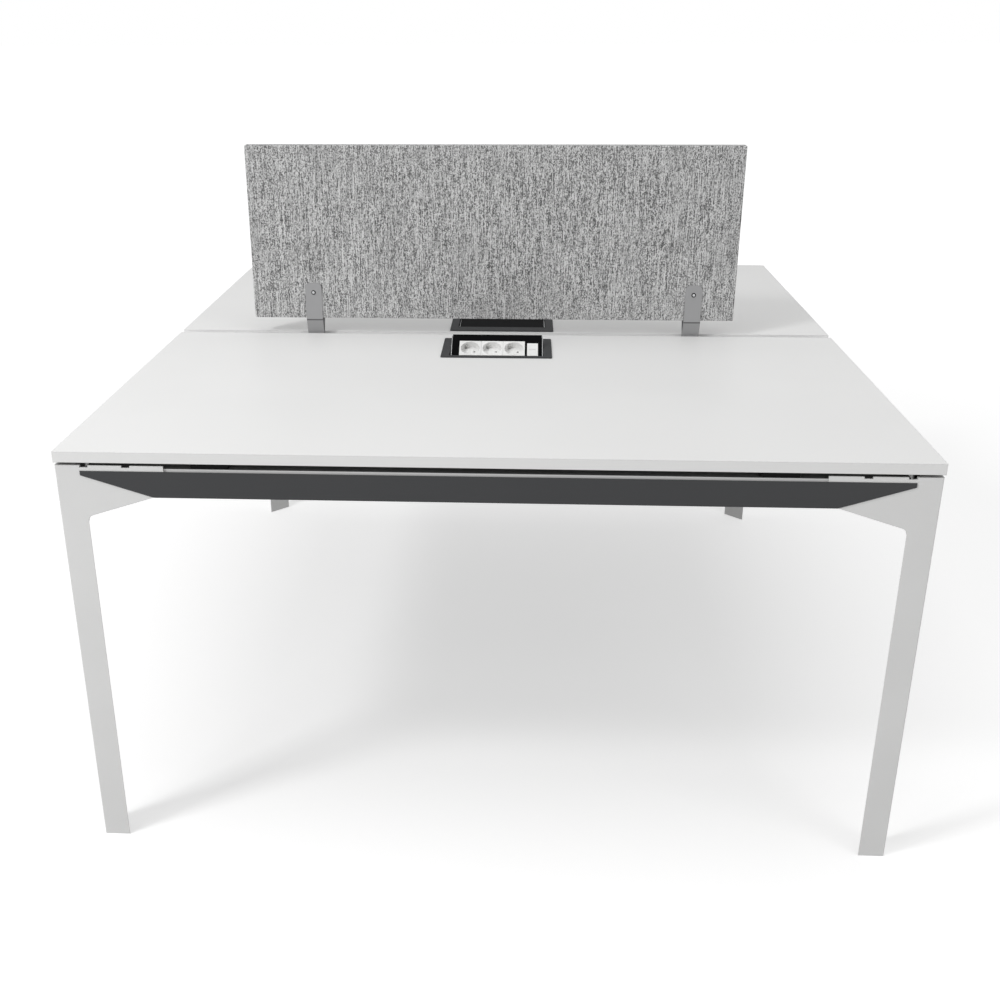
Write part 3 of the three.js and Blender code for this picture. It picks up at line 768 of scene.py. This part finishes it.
def make_piece(
    name: str, grids: Iterable[Array], material: bpy.types.Material, body: Body
) -> bpy.types.Object:
    """A mesh piece from one or more grids of points, riding on a body.

    Args:
        name: The piece's name.
        grids: Arrays of points of shape (rows, columns, 3), in metres, in the desk's frame.
        material: The piece's material.
        body: The body that it rides on.

    Returns:
        The new object.
    """
    points, faces, count = [], [], 0
    for grid in grids:
        rows, columns, _ = grid.shape
        points.append(grid.reshape(-1, 3))
        faces.append(grid_faces(rows, columns) + count)
        count += rows * columns
    mesh = bpy.data.meshes.new(name)
    mesh.from_pydata(np.concatenate(points).tolist(), [], np.concatenate(faces).tolist())
    work = bmesh.new()
    work.from_mesh(mesh)
    bmesh.ops.remove_doubles(work, verts=work.verts, dist=MERGE_DISTANCE)
    bmesh.ops.recalc_face_normals(work, faces=work.faces)
    work.to_mesh(mesh)
    work.free()
    mesh.shade_smooth()
    mesh.set_sharp_from_angle(angle=SHARP_ANGLE)
    mesh.materials.append(material)
    piece = bpy.data.objects.new(name, mesh)
    bpy.context.scene.collection.objects.link(piece)
    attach(piece, body.value)
    LOG.info("made %s on %s", name, body.value)
    return piece


def turn_about(axis: str, angle: float) -> Array:
    """The 3 by 3 matrix of a turn about X, Y or Z."""
    return np.array(Matrix.Rotation(angle, 3, axis))


FACING_FRONT = turn_about("X", QUARTER_TURN)
FACING_REAR = turn_about("X", -QUARTER_TURN)
FACING_DOWN = turn_about("X", math.pi)


@dataclass(frozen=True)
class ScrewHead:
    """A low domed screw head on a straight rim, drawn along +Z with its seat at 0.

    The rim, the peak and the recess's floor are shares of the height, the crown of the radius.
    """

    radius: float
    height: float
    drive: Drive
    socket: float = 0.0
    segments: int = 36
    dome_points: int = 7
    crown: float = 0.62
    rim: float = 0.3
    peak: float = 1.04
    recess_floor: float = 0.25
    recess_middle: float = 0.2

    def grid(self) -> Array:
        """The head as a turned surface: profile point i carried round by angle j.

        Radius is r(i), except inside the recess, where it is a / cos(w) with w the angle from the
        middle of a flat and a the recess's half width across flats. The dome's radius falls to the
        crown as cos(t), and its height grows from the rim as sin(t), over a quarter turn t.

        Returns:
            Points of shape (rows, segments, 3).
        """
        angle = np.linspace(0.0, FULL_TURN, self.segments, endpoint=False)
        dome = np.linspace(0.0, QUARTER_TURN, self.dome_points)
        radius = self.radius * (self.crown + (1.0 - self.crown) * np.cos(dome))
        height = self.height * (self.rim + (1.0 - self.rim) * np.sin(dome))
        base = np.array([[0.0, 0.0], [self.radius, 0.0], [self.radius, self.rim * self.height]])
        outer = np.concatenate([base, np.stack([radius, height], axis=1)[1:]])
        rings = [self.ring(r, z, angle) for r, z in outer]
        if self.drive is Drive.NONE:
            return np.stack([*rings, self.ring(0.0, self.peak * self.height, angle)])
        sector = FULL_TURN / self.drive.value
        flat = np.mod(angle, sector) - 0.5 * sector
        recess = self.socket / np.cos(flat)
        rings.append(self.ring(recess, self.height, angle))
        rings.append(self.ring(recess, self.recess_floor * self.height, angle))
        rings.append(self.ring(0.0, self.recess_middle * self.height, angle))
        return np.stack(rings)

    @staticmethod
    def ring(radius: float | Array, height: float, angle: Array) -> Array:
        """Points of one turn at a radius and a height."""
        flat = np.stack([radius * np.cos(angle), radius * np.sin(angle)], axis=1)
        return np.concatenate([flat, np.full((len(angle), 1), height)], axis=1)

    def placed(self, point: Sequence[float], turn: Array) -> Array:
        """The head turned by a 3 by 3 matrix, with its seat's middle moved to a point."""
        return self.grid() @ turn.T + np.asarray(point)


# Sub-assemblies


@dataclass
class Screen:
    """The screen: its padded cover, brackets and screws."""

    palette: Palette
    round_edge: float = 0.0018
    corner: float = 0.002
    crown: float = 0.0006
    seam_depth: float = 0.0008
    seam_width: float = 0.0016
    seam_steps: tuple[float, ...] = (1.0, 0.5, 0.0)
    seam_dip: tuple[float, ...] = (0.0, 0.35, 1.0)
    arc_points: int = 8
    straight_points: int = 40
    edge_rings: int = 6
    face_rings: int = 14
    seat_gap: float = 0.0003
    bracket_sheet: float = 0.0025
    screw_drop: float = 0.020
    # Painted shade: a black rubber ring under each screw stands in for the shade round the screw head.
    shade_ring: ScrewHead = ScrewHead(0.0047, 0.0008, Drive.NONE)
    screw: ScrewHead = ScrewHead(0.0029, 0.0022, Drive.NONE)

    def outline(self, width: float, height: float) -> tuple[Array, Array]:
        """A rectangle with round corners, as points, and the nearest points of its middle line.

        Corner k's arc is its centre plus corner radius times (cos, sin); straights are the lines
        between arcs, shared out evenly.

        Args:
            width: Full width.
            height: Full height.

        Returns:
            Outline points and middle-line points, each of shape (n, 2).
        """
        half = np.array([0.5 * width, 0.5 * height])
        signs = np.array([[1.0, 1.0], [-1.0, 1.0], [-1.0, -1.0], [1.0, -1.0]])
        share = np.linspace(0.0, 1.0, self.straight_points, endpoint=False)
        parts = []
        for index, (sign, after) in enumerate(zip(signs, np.roll(signs, -1, axis=0))):
            angle = (index + np.linspace(0.0, 1.0, self.arc_points)) * QUARTER_TURN
            round_off = self.corner * np.stack([np.cos(angle), np.sin(angle)], axis=1)
            arc = sign * (half - self.corner) + round_off
            straight = (after - sign) * (half - self.corner)
            parts += [arc[:-1], arc[-1] + share[:, None] * straight]
        points = np.concatenate(parts)
        reach = half[0] - half[1]
        middle = np.stack([np.clip(points[:, 0], -reach, reach), np.zeros(len(points))], axis=1)
        return points, middle

    def cover_grid(self) -> Array:
        """The cover: the outline drawn in towards its middle line while it goes from front to back.

        Ring v lies at depth y(v) and is inset by d(v): a quarter round at each face's edge, a seam
        groove half way, and over each face a crown that grows as 1 - s squared, with s the ring's
        share of the outline.

        Returns:
            Points of shape (rows, columns, 3).
        """
        low, high = (np.array(corner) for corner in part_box("screen_cover"))
        size, centre = high - low, 0.5 * (low + high)
        points, middle = self.outline(size[0], size[2])
        half = 0.5 * size[1]
        turn = np.linspace(0.0, QUARTER_TURN, self.edge_rings)
        edge_inset = self.round_edge * (1.0 - np.sin(turn))
        edge_depth = half - self.round_edge * (1.0 - np.cos(turn))
        seam = np.array(self.seam_steps) * self.seam_width
        dip = np.array(self.seam_dip) * self.seam_depth
        inset = np.concatenate([edge_inset, dip, dip[-2::-1], edge_inset[::-1]])
        depth = np.concatenate([-edge_depth, -seam, seam[-2::-1], edge_depth[::-1]])
        away = points - middle
        length = np.linalg.norm(away, axis=1, keepdims=True)
        rings = middle + away * (1.0 - inset[:, None, None] / length)
        side = np.insert(rings, 1, 0.0, axis=2)
        side[:, :, 1] = depth[:, None]
        share = np.linspace(0.0, 1.0, self.face_rings)
        face = middle + share[:, None, None] * (rings[0] - middle)
        swell = half + self.crown * (1.0 - share**2)
        front = np.insert(face, 1, 0.0, axis=2)
        front[:, :, 1] = -swell[:, None]
        back = front[::-1].copy()
        back[:, :, 1] *= -1.0
        return np.concatenate([front[:-1], side, back[1:]]) + centre

    def build_cover(self) -> None:
        """Make the padded cloth cover in place of its plain solid."""
        cloth = self.palette.material(CLOTH)
        cover = make_piece("screen_cloth", [self.cover_grid()], cloth, Body.DESK)
        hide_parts("screen_cover")

    def build_screws(self) -> None:
        """Make a screw in each bracket's tab, on a black rubber ring that stands in for the shade round
        its head.
        """
        cover_low, cover_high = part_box("screen_cover")
        stand = self.seat_gap + self.bracket_sheet
        faces = {
            "front": (cover_low.y - stand, FACING_FRONT),
            "rear": (cover_high.y + stand, FACING_REAR),
        }
        for side, (plane, turn) in faces.items():
            for end in ENDS:
                low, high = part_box(f"screen_bracket_{side}_{end}")
                seat = np.array([0.5 * (low.x + high.x), plane, high.z - self.screw_drop])
                head_seat = seat + turn @ np.array([0.0, 0.0, self.shade_ring.height])
                # The black ring under each screw is painted shade round its head.
                for part, head, point, finish, slot in (
                    ("shade_ring", self.shade_ring, seat, RUBBER, "rubber"),
                    ("screw", self.screw, head_seat, ZINC, "zinc"),
                ):
                    name = f"screen_{part}_{side}_{end}"
                    material = self.palette.material(finish)
                    piece = make_piece(name, [head.placed(point, turn)], material, Body.DESK)

    def build(self) -> None:
        """Make and dress the screen."""
        self.build_cover()
        self.build_screws()
        self.palette.dress("screen_board", BOARD)
        for side in SIDES:
            for end in ENDS:
                self.palette.dress(f"screen_bracket_{side}_{end}", SILVER_PAINT)


@dataclass
class Frame:
    """Worktops, legs, rails, fascias and the bolts that hold them together."""

    palette: Palette
    bolt: ScrewHead = ScrewHead(0.0070, 0.0040, Drive.HEX, socket=0.0025)
    bolt_from_end: Range = (0.028, 0.088)
    angle_bolt_from_end: Range = (0.014, 0.038)

    def rail_bolts(self, edge: Edge) -> list[Array]:
        """Bolt heads on a rail's inner face, two near each end.

        Args:
            edge: The desk's edge that the rail runs along.

        Returns:
            One grid a bolt.
        """
        low, high = (np.array(corner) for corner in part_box(f"rail_{edge.name.lower()}"))
        centre, half = 0.5 * (low + high), 0.5 * (high - low)
        turn = turn_about("Z", edge.value * QUARTER_TURN)
        inward, along = turn @ np.array([0.0, 1.0, 0.0]), turn @ np.array([1.0, 0.0, 0.0])
        reach = abs(half @ along)
        seat = centre + inward * abs(half @ inward)
        places = [sign * (reach - step) for sign in SIGNS for step in self.bolt_from_end]
        return [self.bolt.placed(seat + along * place, turn @ FACING_REAR) for place in places]

    def angle_bolts(self, end: str) -> list[Array]:
        """Bolt heads under an angle, two into each centre rail.

        Args:
            end: The desk's end, left or right.

        Returns:
            One grid a bolt.
        """
        low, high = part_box(f"rail_angle_{end}")
        inner, sign = (low.x, 1.0) if end == "right" else (high.x, -1.0)
        grids = []
        for rail in SIDES:
            rail_low, rail_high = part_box(f"centre_rail_{rail}")
            middle = 0.5 * (rail_low.y + rail_high.y)
            for step in self.angle_bolt_from_end:
                point = (inner + sign * step, middle, low.z)
                grids.append(self.bolt.placed(point, FACING_DOWN))
        return grids

    def build(self) -> None:
        """Dress the frame and make its bolts."""
        zinc = self.palette.material(ZINC)
        for edge in Edge:
            side = edge.name.lower()
            self.palette.dress(f"rail_{side}", RAIL_PAINT)
            self.palette.dress(f"fascia_{side}", DARK_PAINT)
            bolts = make_piece(f"rail_bolts_{side}", self.rail_bolts(edge), zinc, Body.DESK)
        for end in ENDS:
            self.palette.dress(f"rail_angle_{end}", DARK_PAINT)
            bolts = make_piece(f"angle_bolts_{end}", self.angle_bolts(end), zinc, Body.DESK)
        for side in SIDES:
            self.palette.dress(f"centre_rail_{side}", DARK_PAINT)
            self.palette.dress(f"worktop_{side}", LAMINATE)
            for end in ENDS:
                self.palette.dress(f"pad_{side}_{end}", RUBBER)
                self.palette.dress(f"leg_{side}_{end}", PALE_PAINT)
                self.palette.dress(f"foot_plug_{side}_{end}", BLACK_PLASTIC)
                self.palette.dress(f"glide_{side}_{end}", ZINC)


@dataclass
class PowerUnit:
    """A turn-over power unit: its finishes and the earth clips in its sockets."""

    palette: Palette
    side: str
    body: Body
    axis: Sequence[float]
    turn: Turn
    facing: Facing
    sockets: int = 3
    socket_offset: float = -0.011
    socket_turn: float = math.radians(-30.0)
    face: float = -0.0205
    recess: float = 0.0193
    recess_depth: float = 0.014
    clip_width: float = 0.0045
    clip_sheet: float = 0.0006
    clip_rows: int = 13
    clip_sink: float = 0.0002
    clip_below_mouth: float = 0.0042
    clip_off_wall: float = 0.0008
    clip_bow: float = 0.0020

    def to_desk(self, points: Array) -> Array:
        """Points of the closed unit, taken to where the unit stands.

        Args:
            points: Points about the unit's axis, cover up.

        Returns:
            The points in the desk's frame.
        """
        turn = turn_about("Z", self.facing.value) @ turn_about("X", -self.turn.value)
        return points @ turn.T + np.array(self.axis)

    def socket_middle(self, number: int) -> float:
        """A socket's distance from the unit's middle, along the unit's own X.

        Args:
            number: 1 for the socket at the user's left.

        Returns:
            The distance in metres.
        """
        low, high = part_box(f"{self.side}_unit_socket_{number}")
        return math.cos(self.facing.value) * (0.5 * (low.x + high.x) - self.axis[0])

    def clip_grid(self, middle: float, side: float) -> Array:
        """An earth clip: a strip's section carried along a bowed line up the recess's wall.

        Along t from 0 to 1 the line rises from the recess's floor to near its mouth and bows in by
        b sin(pi t); the section is a flat rectangle across the clip. The whole is turned about the
        recess's axis, square to the line of the pin holes.

        Args:
            middle: X of the socket's middle.
            side: -1 for the clip on the user's side, 1 for the other.

        Returns:
            Points of shape (rows, 4, 3).
        """
        share = np.linspace(0.0, 1.0, self.clip_rows)
        floor = self.face + self.recess_depth
        height = floor + self.clip_sink - share * (self.recess_depth - self.clip_below_mouth)
        inset = self.clip_off_wall + self.clip_bow * np.sin(np.pi * share)
        half = 0.5 * self.clip_width
        thick = np.array([0.0, 0.0, 1.0, 1.0]) * self.clip_sheet
        grid = np.empty((self.clip_rows, 4, 3))
        grid[:, :, 0] = np.array([-half, half, half, -half])
        grid[:, :, 1] = side * (self.recess - inset[:, None] - thick)
        grid[:, :, 2] = height[:, None]
        ends = [grid[row].mean(axis=0) for row in (0, -1)]
        first, last = (np.broadcast_to(end, (1, 4, 3)) for end in ends)
        clip = np.concatenate([first, grid, last])
        return clip @ turn_about("Z", self.socket_turn).T + np.array([middle, self.socket_offset, 0.0])

    def build(self) -> None:
        """Dress the unit and make the clips."""
        name = f"{self.side}_unit"
        finishes = {
            "bezel": BEZEL_PLASTIC,
            "tub": BLACK_PLASTIC,
            "turn_body": BLACK_PLASTIC,
            "cover": BLACK_PLASTIC,
            "end_cap_left": ALUMINIUM,
            "end_cap_right": ALUMINIUM,
            "half_insert": WHITE_PLASTIC,
        }
        for piece, finish in finishes.items():
            self.palette.dress(f"{name}_{piece}", finish)
        for number in range(1, self.sockets + 1):
            self.palette.dress(f"{name}_socket_{number}", WHITE_PLASTIC)
            middle = self.socket_middle(number)
            grids = [self.to_desk(self.clip_grid(middle, side)) for side in SIGNS]
            contact = self.palette.material(SPRUNG_CONTACT)
            clips = make_piece(f"{name}_socket_{number}_clips", grids, contact, self.body)


# Studio


@dataclass(frozen=True)
class Lamp:
    """A square soft lamp that faces a point."""

    name: str
    place: Point
    size: float
    power: float
    target: Point = (0.0, 0.0, 0.735)

    def build(self) -> None:
        """Hang the lamp."""
        data = bpy.data.lights.new(self.name, "AREA")
        data.size = self.size
        data.energy = self.power
        lamp = bpy.data.objects.new(self.name, data)
        lamp.location = self.place
        toward = Vector(self.target) - Vector(self.place)
        lamp.rotation_euler = toward.to_track_quat("-Z", "Y").to_euler()
        bpy.context.scene.collection.objects.link(lamp)


LAMPS = (
    Lamp("key_lamp", (-2.70, -2.46, 3.58), size=0.75, power=55.0),
    Lamp("left_lamp", (-3.2, -3.4, 2.3), size=2.5, power=44.0),
    Lamp("right_lamp", (3.5, -3.5, 2.0), size=2.5, power=30.0),
    Lamp("over_lamp", (0.0, -0.3, 5.0), size=4.0, power=69.0),
)


@dataclass
class Studio:
    """Camera, lamps, floor and background."""

    camera_place: Point = (0.0460, -2.62246, 1.37192)
    pitch: float = 0.405
    yaw: float = -0.0548
    roll: float = 0.0042
    lens: float = 44.247
    sensor: float = 36.0
    shift: Range = (0.0424, 0.0405)
    clip_end: float = 200.0
    floor_reach: float = 60.0
    floor_tone: Tone = (0.74, 0.74, 0.74)
    floor_roughness: float = 0.9
    near_lift: float = 0.46
    far_lift: float = 0.75
    near: float = 1.6
    far: float = 5.0
    ambient: float = 0.41

    def build_camera(self) -> None:
        """Place the camera as the photograph was taken.

        The view direction is (sin yaw cos pitch, cos yaw cos pitch, -sin pitch).
        """
        ahead = np.array([
            math.sin(self.yaw) * math.cos(self.pitch),
            math.cos(self.yaw) * math.cos(self.pitch),
            -math.sin(self.pitch),
        ])
        level = np.array([math.cos(self.yaw), -math.sin(self.yaw), 0.0])
        below = np.cross(ahead, level)
        right = math.cos(self.roll) * level + math.sin(self.roll) * below
        down = -math.sin(self.roll) * level + math.cos(self.roll) * below
        data = bpy.data.cameras.new("camera")
        data.lens = self.lens
        data.sensor_width = self.sensor
        data.shift_x, data.shift_y = self.shift
        data.clip_end = self.clip_end
        camera = bpy.data.objects.new("camera", data)
        matrix = np.eye(4)
        matrix[:3, :3] = np.stack([right, -down, -ahead], axis=1)
        matrix[:3, 3] = self.camera_place
        camera.matrix_world = Matrix(matrix.tolist())
        bpy.context.scene.collection.objects.link(camera)
        bpy.context.scene.camera = camera

    @staticmethod
    def seen_share(tree: bpy.types.NodeTree) -> Socket:
        """A socket that is 1 for rays that show the background itself.

        Args:
            tree: The node tree to add to.

        Returns:
            The larger of camera, glossy and transmission ray.
        """
        path = tree.nodes.new("ShaderNodeLightPath")
        value = path.outputs["Is Camera Ray"]
        for name in ("Is Glossy Ray", "Is Transmission Ray"):
            larger = tree.nodes.new("ShaderNodeMath")
            larger.operation = "MAXIMUM"
            tree.links.new(value, larger.inputs[0])
            tree.links.new(path.outputs[name], larger.inputs[1])
            value = larger.outputs[0]
        return value

    def build_world(self) -> None:
        """Make a white background that lights the object at a lower, plain level."""
        world = bpy.data.worlds.new("studio")
        world.use_nodes = True
        tree = world.node_tree
        tree.nodes.clear()
        mix = tree.nodes.new("ShaderNodeMixShader")
        tree.links.new(self.seen_share(tree), mix.inputs[0])
        for target, strength in zip(mix.inputs[1:], (self.ambient, 1.0)):
            light = tree.nodes.new("ShaderNodeBackground")
            light.inputs["Color"].default_value = (*WHITE, 1.0)
            light.inputs["Strength"].default_value = strength
            tree.links.new(light.outputs[0], target)
        output = tree.nodes.new("ShaderNodeOutputWorld")
        tree.links.new(mix.outputs[0], output.inputs["Surface"])
        bpy.context.scene.world = world

    def floor_material(self) -> bpy.types.Material:
        """Make a pale finish that keeps the desk's shadow and is lifted to white where it is seen.

        The lift grows smoothly with the distance from the desk's middle, as the lamps' light fades.

        Returns:
            The material.
        """
        graph = Graph("pale_floor")
        graph.paint(self.floor_tone, self.floor_roughness)
        graph.constant("Specular IOR Level", 0.0)
        graph.feed(graph.shader.inputs["Emission Color"], WHITE)
        distance = graph.node("ShaderNodeVectorMath")
        distance.operation = "LENGTH"
        graph.link(graph.place, distance.inputs[0])
        fade = graph.span(distance.outputs["Value"], self.near, self.far, self.near_lift, self.far_lift)
        lift = graph.math("MULTIPLY", self.seen_share(graph.tree), fade)
        graph.link(lift, graph.shader.inputs["Emission Strength"])
        return graph.material

    def build_floor(self) -> None:
        """Lay the floor, one square face about the desk's middle."""
        mesh = bpy.data.meshes.new("floor")
        corners = [(-1.0, -1.0, 0.0), (1.0, -1.0, 0.0), (1.0, 1.0, 0.0), (-1.0, 1.0, 0.0)]
        mesh.from_pydata((self.floor_reach * np.array(corners)).tolist(), [], [(0, 1, 2, 3)])
        mesh.materials.append(self.floor_material())
        floor = bpy.data.objects.new("floor", mesh)
        bpy.context.scene.collection.objects.link(floor)

    def build(self) -> None:
        """Make the studio."""
        bpy.context.scene.view_settings.view_transform = "Standard"
        self.build_camera()
        self.build_world()
        self.build_floor()
        for lamp in LAMPS:
            lamp.build()


def main() -> None:
    """Build the studio and the desk's sub-assemblies in order."""
    logging.basicConfig(level=logging.INFO, format="%(name)s: %(message)s")
    palette = Palette()
    Studio().build()
    Frame(palette).build()
    Screen(palette).build()
    axes = {joint["name"]: joint["pos_m"] for joint in frame["joints"] if joint["type"] == "hinge"}
    for side, body, turn, facing in (
        ("front", Body.FRONT_TURN, Turn.OPEN, Facing.FRONT),
        ("rear", Body.REAR_TURN, Turn.CLOSED, Facing.REAR),
    ):
        PowerUnit(palette, side, body, axes[f"{side}_unit_turn"], turn, facing).build()


if __name__ == "__main__":
    main()
